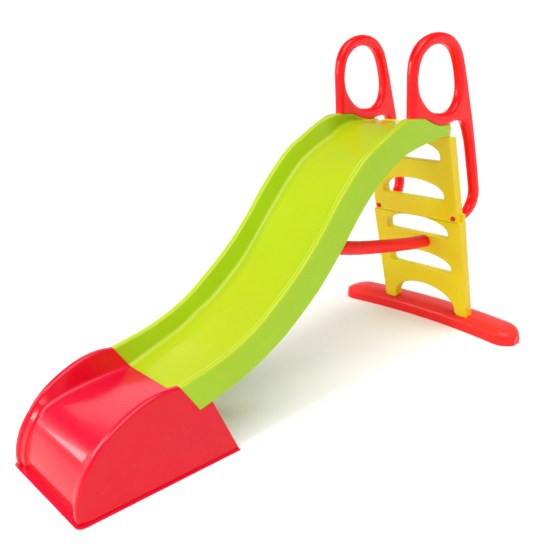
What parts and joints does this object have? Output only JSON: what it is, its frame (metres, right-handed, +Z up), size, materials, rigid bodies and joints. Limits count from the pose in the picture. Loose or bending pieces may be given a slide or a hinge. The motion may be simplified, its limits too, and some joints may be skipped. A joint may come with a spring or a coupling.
{
  "type": "wave slide",
  "caption": "Children's wave slide: moulded wavy chute with a hose outlet, box run-out, arched ladder, loop handrails, brace and bowed foot bar.",
  "frame": {"origin": "on the ground, under the middle of the slide's bounding box", "axes": "+X towards the ladder, +Y to the left of a child who looks down the slide's length from the front end, +Z up"},
  "size_m": [2.12, 0.954, 1.3017],
  "materials": {
    "lime_plastic": "glossy moulded polyethylene, lime",
    "red_plastic": "glossy moulded polyethylene, red",
    "yellow_plastic": "satin moulded polyethylene, yellow",
    "bolt_cap_red": "moulded cap, dark red",
    "zinc_steel": "zinc plated",
    "black_rubber": "moulded",
    "grey_nylon": "moulded"
  },
  "bodies": {
    "root": {"brace_bar": "red_plastic", "brace_chute_bolt": "zinc_steel", "brace_chute_nut": "zinc_steel", "brace_ladder_bolt": "zinc_steel", "brace_washer_left": "grey_nylon", "brace_washer_right": "grey_nylon", "chute": "lime_plastic", "chute_end_screw_left": "zinc_steel", "chute_end_screw_right": "zinc_steel", "foot_bar": "red_plastic", "foot_screw_inner_left": "zinc_steel", "foot_screw_inner_right": "zinc_steel", "foot_screw_outer_left": "zinc_steel", "foot_screw_outer_right": "zinc_steel", "handrail_left": "red_plastic", "handrail_right": "red_plastic", "handrail_screw_front_left": "zinc_steel", "handrail_screw_front_right": "zinc_steel", "handrail_screw_rear_left": "zinc_steel", "handrail_screw_rear_right": "zinc_steel", "hose_lock_nut": "grey_nylon", "hose_outlet": "lime_plastic", "hose_seal": "black_rubber", "hose_tail": "grey_nylon", "joint_screw_lower_left": "zinc_steel", "joint_screw_lower_right": "zinc_steel", "joint_screw_upper_left": "zinc_steel", "joint_screw_upper_right": "zinc_steel", "ladder_bolt_left": "bolt_cap_red", "ladder_bolt_right": "bolt_cap_red", "ladder_lower": "yellow_plastic", "ladder_nut_left": "zinc_steel", "ladder_nut_right": "zinc_steel", "ladder_upper": "yellow_plastic", "run_out": "red_plastic"}
  },
  "joints": []
}
